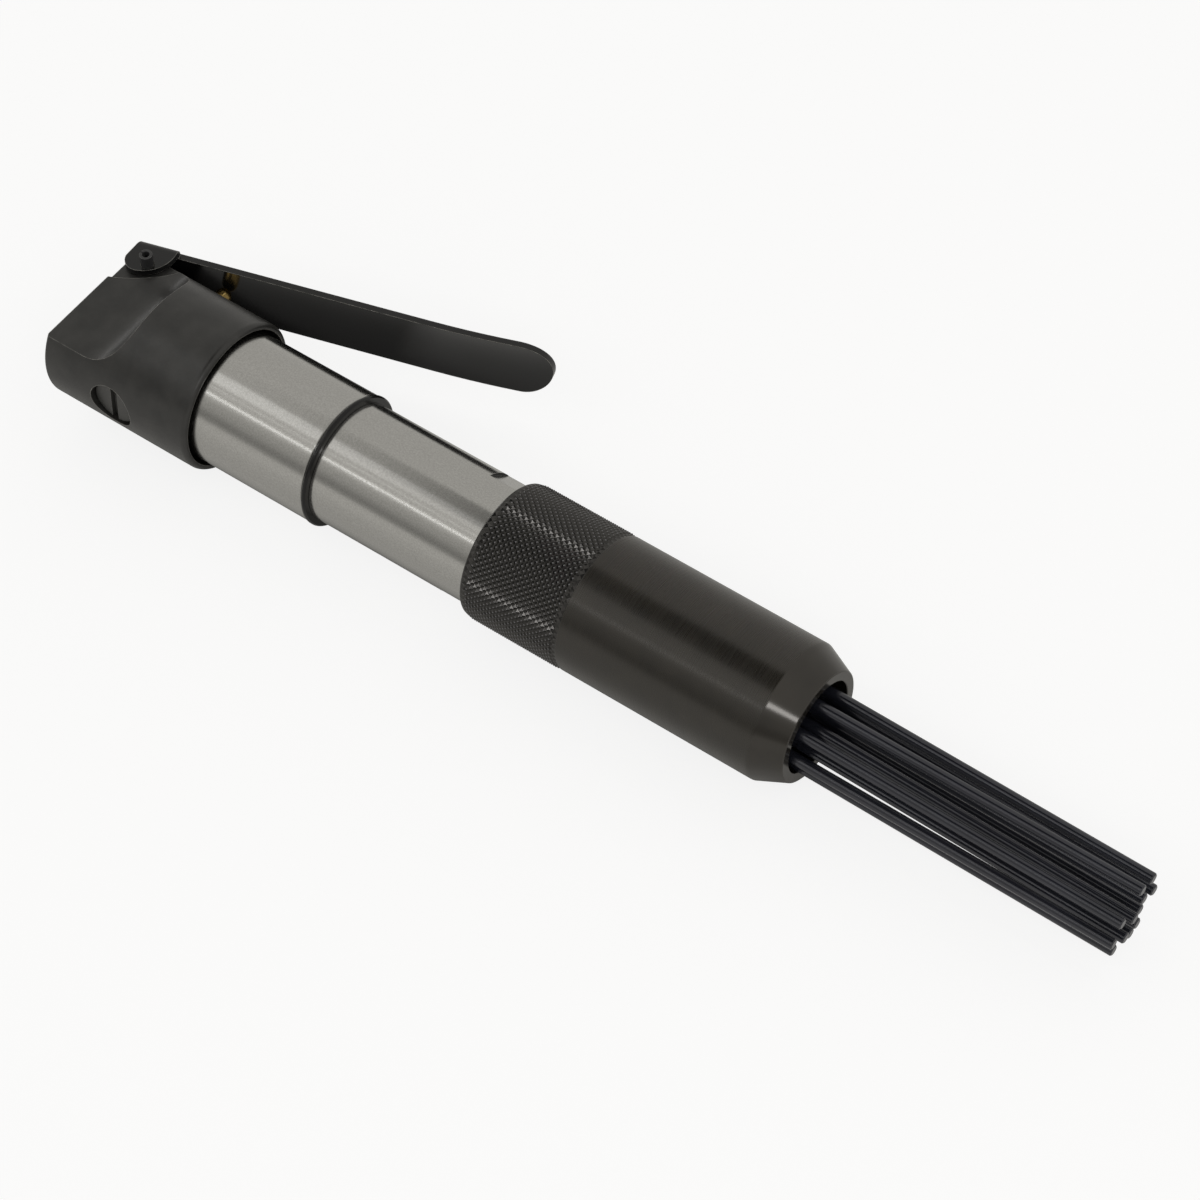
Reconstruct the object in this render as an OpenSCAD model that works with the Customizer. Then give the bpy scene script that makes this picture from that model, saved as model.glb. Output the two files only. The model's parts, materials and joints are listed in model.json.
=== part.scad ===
// Straight air needle scaler with a thumb lever, a twelve needle bundle and a knurled nose tube.
// The tool axis is X, with the air inlet face at X 0 and the needles pointing to +X.
// The lever is on the +Y side and its pivot pin runs along Z. All sizes are in millimetres.

/* [Head] */
// Length of the throttle head
head_len = 47.8; // [47:0.1:52]
// Wall of the head round its exhaust mouth
lip_wall = 1.6; // [1.5:0.1:2.8]
// Rounding of the head's rear edge
head_rear_round = 0.9; // [0.8:0.1:2]
// Rounding of the head's front lip
head_lip_round = 1.4; // [0.6:0.1:1.4]
// Distance from the axis to each milled spanner flat
flat_z = 11; // [10.5:0.1:12.5]
// Length of the milled flats from the rear face to the start of the run-out
flat_len = 12.3; // [9:0.1:13]
// Radius of the cutter run-out at the end of each flat
flat_runout_r = 12; // [9:0.5:12]
// Half thickness of the lug that the lever's ears straddle
lug_half = 9.5; // [8.5:0.1:9.8]
// Radius of the curved wall of the ear pockets
ear_pocket_r = 40; // [30:1:60]
// Radial gap between the exhaust mouth and the sleeve inside it
mouth_gap = 1.27; // [1.05:0.01:1.5]
// Depth of the exhaust mouth
mouth_depth = 8.8; // [7:0.1:10]
// Depth of the threaded socket behind the mouth
socket_depth = 9; // [8:0.5:9]

/* [Air inlet] */
// Wall radius of the air inlet thread
inlet_r = 5.72; // [5.4:0.01:6.5]
// Depth of the air inlet thread
inlet_depth = 13; // [11:0.5:13]
// Radius of the air passage behind the inlet
passage_r = 3.8; // [3:0.1:4]
// Radius of the inlet screen
screen_r = 4.6; // [4.2:0.1:5]
// Thickness of the inlet screen
screen_t = 1.2; // [0.8:0.1:1.5]

/* [Throttle valve] */
// Distance of the valve axis from the rear face
valve_x = 22.5; // [22:0.1:23]
// Radius of the plug hole
cap_hole_r = 6.7; // [6.5:0.1:6.9]
// Height of the slotted plug
cap_h = 7; // [6:0.2:8]
// Depth of the plug's face below the head's surface
cap_recess = 1.7; // [1.2:0.1:2.5]
// Width of the screwdriver slot
cap_slot_w = 2; // [1:0.1:2.4]
// Depth of the screwdriver slot
cap_slot_h = 1.6; // [1:0.1:2.2]
// Radius of the valve chamber
chamber_r = 5.2; // [5:0.1:5.3]
// Height of the valve seat above the axis
seat_y = 4; // [3.8:0.1:4.2]
// Radius of the passage through the seat
seat_r = 3.2; // [3:0.1:3.4]
// Radius of the valve stem's plunger
plunger_r = 2.2; // [2:0.05:2.4]
// Radius of the thin part of the valve stem
stem_r = 1.6; // [1.3:0.1:1.8]
// Radius of the valve disc on the stem
stem_disc_r = 4.4; // [4.2:0.1:4.6]
// Thickness of the valve disc on the stem
stem_disc_t = 2.8; // [2.4:0.1:3]
// Outer radius of the brass guide bush
bush_r = 4.95; // [4.5:0.05:5]
// Length of the brass guide bush
bush_len = 8.5; // [7.5:0.5:8.5]
// Mean radius of the valve spring
valve_spring_r = 3.2; // [3:0.1:3.5]
// Wire diameter of the valve spring
valve_spring_wire = 0.9; // [0.7:0.1:1]
// Number of turns of the valve spring
valve_spring_turns = 6; // [5:1:6]

/* [Lever] */
// Distance of the pivot from the rear face
pivot_x = 6.2; // [6:0.1:6.5]
// Depth of the pivot below the head's round surface
pivot_sink = 5.9; // [5.6:0.1:6.1]
// Angle of the released lever to the tool axis
lever_open = 15.5; // [14:0.5:17]
// Angle that the lever closes through when squeezed
lever_travel = 13; // [8:0.5:13]
// Length of the lever from the pivot to its tip
lever_len = 110.8; // [95:0.2:115]
// Width of the lever's trough
lever_w = 18.2; // [17:0.2:19]
// Sheet thickness of the lever
lever_t = 1.8; // [1.4:0.1:2]
// Height of the lever's back above the pivot
lever_back = 9.1; // [9:0.1:9.6]
// Radius of the trough's section
trough_r = 38; // [30:1:50]
// Bend radius between the lever's back and its ears
lever_bend = 2.4; // [2.2:0.1:3.2]
// Distance from the pivot at which the trough turns up
upturn_start = 78; // [60:1:85]
// Radius of the trough's upturned end
upturn_r = 284; // [220:4:500]
// Gap between the lug and each ear
ear_gap = 0.3; // [0.2:0.05:0.5]
// Diameter of the roll pin
pin_d = 3.5; // [3:0.1:3.7]
// Wall of the roll pin
pin_wall = 0.65; // [0.5:0.05:0.8]
// Length of the roll pin
pin_len = 30; // [27:0.5:32]

/* [Barrel] */
// Outer radius of the barrel
barrel_r = 16.85; // [16.7:0.05:17]
// Distance of the barrel's front end from the rear face
barrel_end = 163; // [160:1:165]
// Radius of the cylinder bore
bore_r = 12.5; // [12:0.1:12.8]
// Radius of the thread that screws into the head
rear_thread_r = 15.95; // [15.6:0.05:16.1]
// Radius of the thread that carries the nose tube
front_thread_r = 16.3; // [16.1:0.05:16.4]
// Length of the nose tube's thread
front_thread_len = 20; // [16:1:21]
// Distance across the spanner flats
spanner_af = 32; // [31:0.1:32.6]
// Distance from the rear face at which the spanner flats start
spanner_x = 125.5; // [118:0.5:126]
// Length of the spanner flats
spanner_len = 16.5; // [12:0.5:16.5]
// Angle of the spanner flats about the axis
spanner_angle = 43; // [0:1:90]
// Wall of the exhaust sleeve at its snug front end
sleeve_wall = 1.53; // [1.4:0.01:1.8]
// Distance of the sleeve's front edge from the rear face
sleeve_end = 84; // [82:0.2:88]
// Radial exhaust space between the barrel and the sleeve
exhaust_gap = 0.65; // [0.45:0.05:0.75]
// Number of exhaust slots in the sleeve's rear edge
exhaust_slots = 6; // [4:1:8]
// Width of an exhaust slot
exhaust_slot_w = 6; // [4:0.5:7]
// Distance of the barrel's exhaust ports from the rear face
port_x = 66; // [60:1:68]
// Width of the rubber ring in front of the sleeve
sleeve_ring_w = 1.3; // [1.1:0.1:2]
// Height of the rubber ring above the sleeve
sleeve_ring_rise = 0.27; // [0:0.01:0.35]
// Depth of the ring's groove in the barrel
ring_groove_h = 0.5; // [0.3:0.1:0.8]

/* [Air distributor and piston] */
// Outer radius of the distributor plates
plate_r = 13.95; // [13.8:0.05:14.1]
// Thickness of the rear distributor plate
rear_plate_t = 4; // [3.5:0.5:4.5]
// Thickness of the front distributor plate
front_plate_t = 5; // [4.5:0.5:5.5]
// Radius of the flutter disc
flutter_r = 8; // [7:0.5:8.5]
// Thickness of the flutter disc
flutter_t = 1.2; // [1:0.1:1.4]
// Travel of the flutter disc
flutter_travel = 1; // [0.6:0.1:1.2]
// Length of the piston
piston_len = 36; // [32:1:38]
// Running clearance of the piston in its bore
piston_gap = 0.05; // [0.03:0.01:0.08]
// Depth of each oil groove round the piston
piston_groove = 0.6; // [0.4:0.1:1]

/* [Anvil and needles] */
// Radius of the anvil's shank
anvil_r = 8; // [7:0.1:8.5]
// Length of the anvil's bush inside the barrel
anvil_bush_len = 44; // [40:1:46]
// Length of the shank behind the bush
anvil_tail = 3; // [2:0.5:4]
// Thickness of the bush's flange
bush_flange_t = 2.5; // [2:0.5:3]
// Thickness of the anvil's striking flange
anvil_flange_t = 3.6; // [3:0.2:5]
// Wall of the needle holder's rim
holder_rim = 1.9; // [1.6:0.1:2]
// Thickness of the needle holder's plate
holder_plate_t = 5; // [4:0.5:6]
// Radius of a needle
needle_r = 1.5; // [1.4:0.05:1.5]
// Length of a needle
needle_len = 150; // [130:1:180]
// Radius of a needle's head
needle_head_r = 2.5; // [2.4:0.05:2.6]
// Thickness of a needle's head
needle_head_t = 2; // [1.5:0.1:2.2]
// Free travel of a needle's head in the holder
needle_play = 5; // [5:0.5:8]
// Radial play of a needle in the holder's holes
holder_hole_gap = 0.5; // [0.5:0.01:0.54]
// Radial play of a needle in the guide's holes
guide_hole_gap = 1.25; // [1.25:0.01:1.3]
// Radius of the outer ring of needles
outer_ring_r = 10; // [9.9:0.05:10.05]
// Radius of the inner ring of needles
inner_ring_r = 4.5; // [4.4:0.05:4.5]
// Mean radius of the needle spring
needle_spring_r = 14; // [13.9:0.05:14.1]
// Wire diameter of the needle spring
needle_spring_wire = 2.2; // [2:0.1:2.3]
// Number of turns of the needle spring
needle_spring_turns = 7; // [5:1:7]

/* [Nose tube] */
// Wall of the nose tube round its spring chamber
tube_wall = 3.45; // [3.2:0.05:3.8]
// Wall of the knurled grip round the barrel
grip_wall = 2.25; // [2.1:0.05:2.5]
// Distance of the tube's rear edge from the rear face
tube_start = 135.1; // [134:0.1:137]
// Length of the knurled grip
knurl_len = 29.9; // [26:0.1:34]
// Chamfer of the knurl's rear edge
knurl_chamfer = 0.35; // [0.2:0.05:1]
// Distance of the tube's front face from the rear face
tube_end = 230.85; // [228:0.25:240]
// Length of the conical nose
nose_len = 8.15; // [6:0.05:10]
// Radius of the nose's flat front ring
nose_face_r = 15.45; // [14.5:0.05:17]
// Radius of the nose opening
nose_mouth_r = 12.7; // [12.7:0.1:13.2]
// Radius of the spring chamber
tube_bore_r = 15.6; // [15.6:0.05:15.8]
// Thickness of the needle guide
guide_t = 8; // [7:0.5:9]
// Depth of the nose opening in front of the needle guide
mouth_land = 6.85; // [5:0.25:8]

/* [Fits] */
// Radial gap of parts that are pressed or screwed together
fit_gap = 0.05; // [0.03:0.01:0.08]
// Radial running clearance of pins and stems
run_gap = 0.05; // [0.03:0.01:0.08]
// Axial gap between parts that rest against each other and move
rest_gap = 0.1; // [0.05:0.01:0.2]
// Radial gap of the nose tube's skirt round the barrel
skirt_gap = 0.2; // [0.1:0.05:0.3]
// Radial gap of flanges that pass each other without guiding
loose_gap = 0.3; // [0.2:0.05:0.4]

/* [Hidden] */
$fn = 96;
// Overshoot of every cutting shape past the surface that it cuts
eps = 0.5;

// Radii that build up from the barrel to the sleeve, the head and the grip, and from the chamber to the tube
sleeve_r = barrel_r + fit_gap + sleeve_wall;
mouth_r = sleeve_r + mouth_gap;
head_r = mouth_r + lip_wall;
ring_groove_r = barrel_r - ring_groove_h;
knurl_r = barrel_r + skirt_gap + grip_wall;
tube_r = tube_bore_r + tube_wall;
holder_r = tube_bore_r - loose_gap;

// Stations along the tool axis
mouth_x = head_len - mouth_depth;
socket_x = mouth_x - socket_depth;
gasket_t = 0.8;
barrel_start = socket_x + gasket_t;
plate_x = barrel_start;
front_plate_x = plate_x + rear_plate_t;
pack_end = front_plate_x + front_plate_t;
flutter_gap = 0.1;
flutter_x = front_plate_x + flutter_gap;
piston_rest = 1.2;
piston_x = pack_end + piston_rest;
bush_x = barrel_end - anvil_bush_len;
anvil_x = bush_x - anvil_tail;
front_thread_x = barrel_end - front_thread_len;
flange_x = barrel_end + bush_flange_t;
anvil_flange_x = flange_x + rest_gap;
heads_x = anvil_flange_x + anvil_flange_t + rest_gap;
holder_x = flange_x + rest_gap;
holder_plate_x = heads_x + needle_play + needle_head_t + rest_gap;
holder_end = holder_plate_x + holder_plate_t;
guide_end = tube_end - mouth_land;
guide_x = guide_end - guide_t;
sleeve_ring_x = sleeve_end + fit_gap;

// The throttle valve, measured along Y
cap_face_y = -(head_r - cap_recess);
cap_inner_y = cap_face_y + cap_h;
valve_seal_d = 1;
stem_disc_y = seat_y - run_gap - valve_seal_d - stem_disc_t;
bush_sink = 1.8;
bush_top_y = head_r - bush_sink;
bush_bottom_y = bush_top_y - bush_len;
outlet_r = 2.6;
seat_land = 0.7;
outlet_y = seat_y + seat_land + outlet_r;
stem_seal_d = 1.2;
stem_seal_y = bush_bottom_y + bush_len / 2;
cap_seal_d = 1.4;
cap_shoulder = 1;
cap_bore_depth = 2.4;

// The pivot and the lever, in a frame with its X axis along the lever and its origin at the pivot
pivot_y = head_r - pivot_sink;
ear_half = lug_half + ear_gap + lever_t;
ear_bend_x = ear_half - lever_bend;
ear_bend_y = lever_back - trough_r + sqrt(pow(trough_r, 2) - pow(ear_bend_x, 2)) - lever_bend;
trough_start = 3;
tip_centre = lever_len - lever_w / 2;

// Height of the plunger's domed tip that just touches the lever's underside at an angle to the axis
function dome_y(angle) = pivot_y + (lever_back - lever_t - plunger_r - tip_gap
    + sin(angle) * (valve_x - pivot_x)) / cos(angle);
tip_gap = 0.15;
tail_gap = 0.8;
dome_rest_y = dome_y(lever_open);
stem_travel = dome_rest_y - dome_y(lever_open - lever_travel);
stem_tail_y = cap_inner_y - cap_bore_depth + stem_travel + tail_gap;

// The ear pocket's wall is an arc whose lowest point lies below the pivot
ear_pocket_angle = 35.9;
ear_pocket_low = [0.8, -4.9];
ear_pocket_centre = [pivot_x + ear_pocket_low[0] - ear_pocket_r * sin(ear_pocket_angle),
    pivot_y + ear_pocket_low[1] + ear_pocket_r * cos(ear_pocket_angle)];

// Two rings of needles, each ring's angle counted from the lever's side toward +Z
outer_count = 8;
inner_count = 4;
inner_phase = 22.5;
// The loose needles sag in their holes and hang off the tool axis, all in one direction
sag_angle = 242;
holder_sag = 0.3;
needle_lean = 0.76;
spigot_h = 3;
swing_x = (holder_plate_x + holder_end + spigot_h) / 2;
tip_chamfer = 0.3;
// Distance that each needle has slid forward in the holder, outer ring first
needle_lead = [2.2, 2.5, 3.1, 3.1, 2.5, 1.4, 1.5, 0.5, 2.2, 3.8, 3.2, 2.7];
// Sideways scatter of each tip, outer ring first, and its direction
tip_scatter = [-1.2, 0, 1, -0.5, 0.4, 0, 0.8, -0.8, 0, -1.2, -1.2, -0.8];
scatter_angle = 30.5;

function ring_r(i) = i < outer_count ? outer_ring_r : inner_ring_r;
function ring_angle(i) = i < outer_count
    ? i * 360 / outer_count
    : inner_phase + (i - outer_count) * 360 / inner_count;
function hole_y(i) = ring_r(i) * cos(ring_angle(i));
function hole_z(i) = ring_r(i) * sin(ring_angle(i));
function scatter_slope(i) = tip_scatter[i] / (heads_x + needle_len - swing_x);
function slope_y(i) = tan(needle_lean) * cos(sag_angle) + scatter_slope(i) * cos(scatter_angle);
function slope_z(i) = tan(needle_lean) * sin(sag_angle) + scatter_slope(i) * sin(scatter_angle);

// Basic shapes along the tool axis and along the valve axis
module rod_x(r, x0, x1) {
    translate([x0, 0, 0]) rotate([0, 90, 0]) cylinder(r = r, h = x1 - x0);
}

module tube_x(r_out, r_in, x0, x1) {
    difference() {
        rod_x(r_out, x0, x1);
        rod_x(r_in, x0 - eps, x1 + eps);
    }
}

module spin_x(x = 0) {
    translate([x, 0, 0]) rotate([0, 90, 0]) rotate_extrude() children();
}

module rod_y(r, y0, y1) {
    translate([valve_x, y0, 0]) rotate([-90, 0, 0]) cylinder(r = r, h = y1 - y0);
}

module seal_y(mean_r, cord_d, y) {
    translate([valve_x, y, 0]) rotate([-90, 0, 0])
        rotate_extrude() translate([mean_r, 0]) circle(d = cord_d, $fn = 24);
}

// Outer corner of a profile that a rounding removes, with the rounding's centre at the origin
module corner_waste(r) {
    difference() {
        square(r + eps);
        circle(r);
    }
}

// One unbroken coil along Z, as a tube of six sides with sixteen rings to a turn and closed end turns
coil_sides = 6;
coil_rings = 16;
end_gap = 0.5;
end_turns = 1;
function coil_height(turn, turns, wire, length) =
    let (end_pitch = wire + end_gap,
        free_pitch = (length - wire - 2 * end_turns * end_pitch) / (turns - 2 * end_turns),
        free = min(max(turn - end_turns, 0), turns - 2 * end_turns))
    wire / 2 + end_pitch * (turn - free) + free_pitch * free;

module coil(mean_r, wire, length, turns) {
    rings = turns * coil_rings;
    points = [for (i = [0:rings], k = [0:coil_sides - 1])
        let (a = i * 360 / coil_rings, b = k * 360 / coil_sides, r = mean_r + wire / 2 * cos(b))
        [r * cos(a), r * sin(a), coil_height(i / coil_rings, turns, wire, length) + wire / 2 * sin(b)]];
    side_faces = [for (i = [0:rings - 1], k = [0:coil_sides - 1], half = [0, 1])
        let (next = (k + 1) % coil_sides, base = i * coil_sides)
        half == 0
            ? [base + k, base + k + coil_sides, base + next + coil_sides]
            : [base + k, base + next + coil_sides, base + next]];
    end_faces = [for (k = [1:coil_sides - 2]) [0, k, k + 1]];
    last = rings * coil_sides;
    start_faces = [for (k = [1:coil_sides - 2]) [last, last + k + 1, last + k]];
    gaps = [for (i = [0:rings - coil_rings])
        coil_height((i + coil_rings) / coil_rings, turns, wire, length)
            - coil_height(i / coil_rings, turns, wire, length) - wire];
    echo(str("Least gap between turns of a coil of radius ", mean_r, ": ", min(gaps)));
    polyhedron(points, concat(side_faces, end_faces, start_faces));
}

// Throttle head: round body, two milled flats with curved run-outs, and a lug for the lever
module head_profile() {
    difference() {
        square([head_r, head_len]);
        translate([head_r - head_lip_round, head_len - head_lip_round]) corner_waste(head_lip_round);
        translate([head_r - head_rear_round, head_rear_round]) mirror([0, 1])
            corner_waste(head_rear_round);
    }
}

module flat_cutter() {
    width = 2 * head_r + 2 * eps;
    translate([-eps, -width / 2, flat_z]) cube([flat_len + eps, width, head_r]);
    translate([flat_len, 0, flat_z + flat_runout_r]) rotate([90, 0, 0])
        cylinder(r = flat_runout_r, h = width, center = true, $fn = 180);
    translate([ear_pocket_centre[0], ear_pocket_centre[1], lug_half])
        cylinder(r = ear_pocket_r, h = head_r, $fn = 180);
}

module valve_bores() {
    rod_y(cap_hole_r, -head_r - eps, cap_inner_y);
    rod_y(cap_hole_r - cap_shoulder, cap_inner_y - eps, cap_inner_y + cap_seal_d);
    rod_y(chamber_r, cap_inner_y, seat_y);
    rod_y(seat_r, seat_y - eps, bush_bottom_y + eps);
    rod_y(bush_r + fit_gap, bush_bottom_y, head_r + eps);
    translate([0, outlet_y, 0]) rod_x(outlet_r, valve_x, socket_x + eps);
}

module head() {
    color([0.22, 0.22, 0.23])
    difference() {
        spin_x() head_profile();
        flat_cutter();
        mirror([0, 0, 1]) flat_cutter();
        rod_x(mouth_r, mouth_x, head_len + eps);
        rod_x(rear_thread_r + fit_gap, socket_x, mouth_x + eps);
        rod_x(inlet_r, -eps, inlet_depth);
        rod_x(screen_r + fit_gap, inlet_depth - eps, inlet_depth + screen_t);
        rod_x(passage_r, inlet_depth, valve_x);
        valve_bores();
        translate([pivot_x, pivot_y, 0])
            cylinder(d = pin_d + 2 * fit_gap, h = 2 * head_r, center = true, $fn = 48);
    }
}

// Strainer disc at the bottom of the air inlet
module inlet_screen() {
    screen_hole_r = 0.5;
    screen_pitch = 1.5;
    color([0.72, 0.7, 0.62])
    difference() {
        rod_x(screen_r, inlet_depth, inlet_depth + screen_t);
        for (ring = [0:2]) for (k = [0:max(ring * 6 - 1, 0)])
            rotate([k * 360 / max(ring * 6, 1), 0, 0]) translate([0, ring * screen_pitch, 0])
                rod_x(screen_hole_r, inlet_depth - eps, inlet_depth + screen_t + eps);
    }
}

// Brass guide bush for the plunger, with a groove for its seal
module valve_bush() {
    color([0.72, 0.55, 0.25])
    difference() {
        rod_y(bush_r, bush_bottom_y, bush_top_y);
        rod_y(plunger_r + run_gap, bush_bottom_y - eps, bush_top_y + eps);
        rod_y(plunger_r + run_gap + stem_seal_d, stem_seal_y - stem_seal_d / 2 - fit_gap,
            stem_seal_y + stem_seal_d / 2 + fit_gap);
    }
}

module stem_seal() {
    color([0.1, 0.1, 0.1]) seal_y(plunger_r + run_gap + stem_seal_d / 2, stem_seal_d, stem_seal_y);
}

// Brass valve stem: tail in the plug, disc under the seat, thin neck and domed plunger
module valve_stem() {
    plunger_sink = 0.6;
    plunger_bottom_y = bush_bottom_y + plunger_sink;
    color([0.72, 0.55, 0.25]) {
        rod_y(stem_r, stem_tail_y, plunger_bottom_y + eps);
        rod_y(stem_disc_r, stem_disc_y, stem_disc_y + stem_disc_t);
        rod_y(plunger_r, plunger_bottom_y, dome_rest_y);
        translate([valve_x, dome_rest_y, 0]) sphere(r = plunger_r, $fn = 48);
    }
}

module valve_seal() {
    color([0.1, 0.1, 0.1])
        seal_y(stem_disc_r - valve_seal_d / 2, valve_seal_d, stem_disc_y + stem_disc_t + valve_seal_d / 2);
}

module valve_spring() {
    color([0.6, 0.6, 0.6])
    translate([valve_x, cap_inner_y, 0]) rotate([-90, 0, 0])
        coil(valve_spring_r, valve_spring_wire, stem_disc_y - cap_inner_y, valve_spring_turns);
}

// Slotted plug that closes the valve bore, with a blind hole that guides the stem's tail
module valve_cap() {
    slot_angle = 5;
    cap_chamfer = 0.5;
    color([0.25, 0.25, 0.26])
    difference() {
        translate([valve_x, cap_face_y, 0]) rotate([-90, 0, 0]) rotate_extrude()
            polygon([[0, 0], [cap_hole_r - fit_gap - cap_chamfer, 0], [cap_hole_r - fit_gap, cap_chamfer],
                [cap_hole_r - fit_gap, cap_h], [0, cap_h]]);
        rod_y(stem_r + run_gap, cap_inner_y - cap_bore_depth, cap_inner_y + eps);
        translate([valve_x, cap_face_y, 0]) rotate([0, slot_angle, 0])
            cube([cap_slot_w, 2 * cap_slot_h, 3 * cap_hole_r], center = true);
    }
}

module cap_seal() {
    color([0.1, 0.1, 0.1])
        seal_y(cap_hole_r - cap_shoulder - cap_seal_d / 2, cap_seal_d, cap_inner_y + cap_seal_d / 2);
}

// Moves its children from the lever's own frame to the released lever
module at_lever() {
    translate([pivot_x, pivot_y, 0]) rotate([0, 0, lever_open]) children();
}

// Points along an arc, from one angle to another
function arc(centre, r, from, to, steps) =
    [for (k = [0:steps]) let (a = from + (to - from) * k / steps) centre + r * [cos(a), sin(a)]];

// Side outline of an ear: a tight lobe behind the pin, a wide one in front, and a leaning rear edge
module ear_outline() {
    rear_lobe = [-2.6, 1];
    rear_lobe_r = 4.1;
    front_lobe = [-3, 5.8];
    front_lobe_r = 8.9;
    rear_slant = 2;
    top = lever_back + eps;
    rear_top = [rear_lobe[0] - rear_lobe_r + rear_slant, top];
    front_top_angle = asin((top - front_lobe[1]) / front_lobe_r);
    polygon(concat([rear_top], arc(rear_lobe, rear_lobe_r, 180, 270, 8),
        arc(front_lobe, front_lobe_r, -85, front_top_angle, 24)));
}

// Section of the lever over the lug: a crowned back, two bends and two straight ears
module saddle_section(inset) {
    reach = 2 * lever_back;
    intersection() {
        translate([0, lever_back - trough_r]) circle(trough_r - inset, $fn = 180);
        translate([-ear_bend_x, -reach]) square([2 * ear_bend_x, 2 * reach]);
    }
    for (side = [-1, 1]) translate([side * ear_bend_x, ear_bend_y]) circle(lever_bend - inset);
    translate([-(ear_half - inset), -reach]) square([2 * (ear_half - inset), reach + ear_bend_y]);
}

module lever_saddle() {
    length = 3 * lever_back;
    intersection() {
        linear_extrude(3 * ear_half, center = true) ear_outline();
        rotate([0, 90, 0]) linear_extrude(length, center = true) difference() {
            saddle_section(0);
            saddle_section(lever_t);
        }
    }
}

// Section of the trough in its own plane, as an arc of sheet with its crown at the origin
module trough_section() {
    crown_drop = 3 * lever_t;
    intersection() {
        translate([0, -trough_r]) difference() {
            circle(trough_r, $fn = 180);
            circle(trough_r - lever_t, $fn = 180);
        }
        translate([-lever_w / 2, -crown_drop]) square([lever_w, crown_drop + eps]);
    }
}

module lever_trough() {
    translate([trough_start, lever_back, 0]) rotate([0, 90, 0])
        linear_extrude(upturn_start - trough_start) trough_section();
    // The last stretch bends gently away from the barrel and ends in a half circle
    upturn_angle = 12;
    intersection() {
        translate([upturn_start, lever_back + upturn_r, 0]) rotate([0, 0, -90])
            rotate_extrude(angle = upturn_angle, $fn = 720)
                translate([upturn_r, 0]) rotate([0, 0, 90]) trough_section();
        union() {
            translate([upturn_start - eps, -lever_w, -lever_w / 2])
                cube([tip_centre - upturn_start + eps, 4 * lever_w, lever_w]);
            translate([tip_centre, -lever_w, 0]) rotate([-90, 0, 0])
                cylinder(d = lever_w, h = 4 * lever_w);
        }
    }
}

module lever() {
    color([0.16, 0.16, 0.17])
    difference() {
        at_lever() {
            lever_saddle();
            lever_trough();
        }
        translate([pivot_x, pivot_y, 0])
            cylinder(d = pin_d + 2 * run_gap, h = 4 * ear_half, center = true, $fn = 48);
    }
}

// Split roll pin, pressed in the lug and standing proud of both ears
module lever_pin() {
    pin_slot = 0.6;
    pin_top = 15.3;
    color([0.3, 0.3, 0.3])
    translate([pivot_x, pivot_y, pin_top - pin_len]) difference() {
        cylinder(d = pin_d, h = pin_len, $fn = 48);
        translate([0, 0, -eps]) cylinder(r = pin_d / 2 - pin_wall, h = pin_len + 2 * eps, $fn = 48);
        translate([-pin_d, -pin_slot / 2, -eps]) cube([pin_d, pin_slot, pin_len + 2 * eps]);
    }
}

// Fibre gasket between the head's socket and the barrel's rear face
module head_gasket() {
    face_w = 5;
    color([0.45, 0.3, 0.2])
        tube_x(rear_thread_r - fit_gap, rear_thread_r - face_w, socket_x, socket_x + gasket_t);
}

// Barrel with its bore, exhaust ports, seal groove, spanner flats and two threaded ends
module spanner_cutters() {
    rotate([spanner_angle, 0, 0]) for (side = [-1, 1])
        translate([spanner_x + spanner_len / 2, side * (spanner_af + barrel_r) / 2, 0])
            cube([spanner_len, barrel_r, 2 * barrel_r], center = true);
}

module barrel() {
    ports = 6;
    port_r = 2;
    color([0.72, 0.71, 0.69])
    difference() {
        union() {
            rod_x(rear_thread_r, barrel_start, mouth_x);
            rod_x(barrel_r, mouth_x, front_thread_x);
            rod_x(front_thread_r, front_thread_x, barrel_end);
        }
        rod_x(bore_r, barrel_start - eps, barrel_end + eps);
        rod_x(plate_r + fit_gap, barrel_start - eps, pack_end);
        tube_x(barrel_r + eps, ring_groove_r, sleeve_ring_x - fit_gap,
            sleeve_ring_x + sleeve_ring_w + fit_gap);
        for (k = [0:ports - 1]) rotate([k * 360 / ports, 0, 0])
            translate([port_x, 0, 0]) cylinder(r = port_r, h = barrel_r + eps, $fn = 32);
        spanner_cutters();
    }
}

// Air distributor: two ported plates with a flutter disc floating between them
module rear_plate() {
    centre_port_r = 3;
    color([0.55, 0.55, 0.56]) tube_x(plate_r, centre_port_r, plate_x, plate_x + rear_plate_t);
}

module flutter_disc() {
    color([0.65, 0.66, 0.68]) rod_x(flutter_r, flutter_x, flutter_x + flutter_t);
}

module front_plate() {
    pocket_h = 2 * flutter_gap + flutter_t + flutter_travel;
    pocket_gap = 0.5;
    ports = 6;
    port_r = 1.2;
    port_ring_r = 11;
    channel_h = 1.5;
    color([0.55, 0.55, 0.56])
    difference() {
        rod_x(plate_r, front_plate_x, pack_end);
        rod_x(flutter_r + pocket_gap, front_plate_x - eps, front_plate_x + pocket_h);
        rod_x(2 * port_r, front_plate_x, pack_end + eps);
        for (k = [0:ports - 1]) rotate([k * 360 / ports, 0, 0]) {
            translate([0, port_ring_r, 0]) rod_x(port_r, front_plate_x - eps, pack_end + eps);
            translate([front_plate_x - eps, 0, -port_r]) cube([channel_h + eps, port_ring_r, 2 * port_r]);
        }
    }
}

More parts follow.
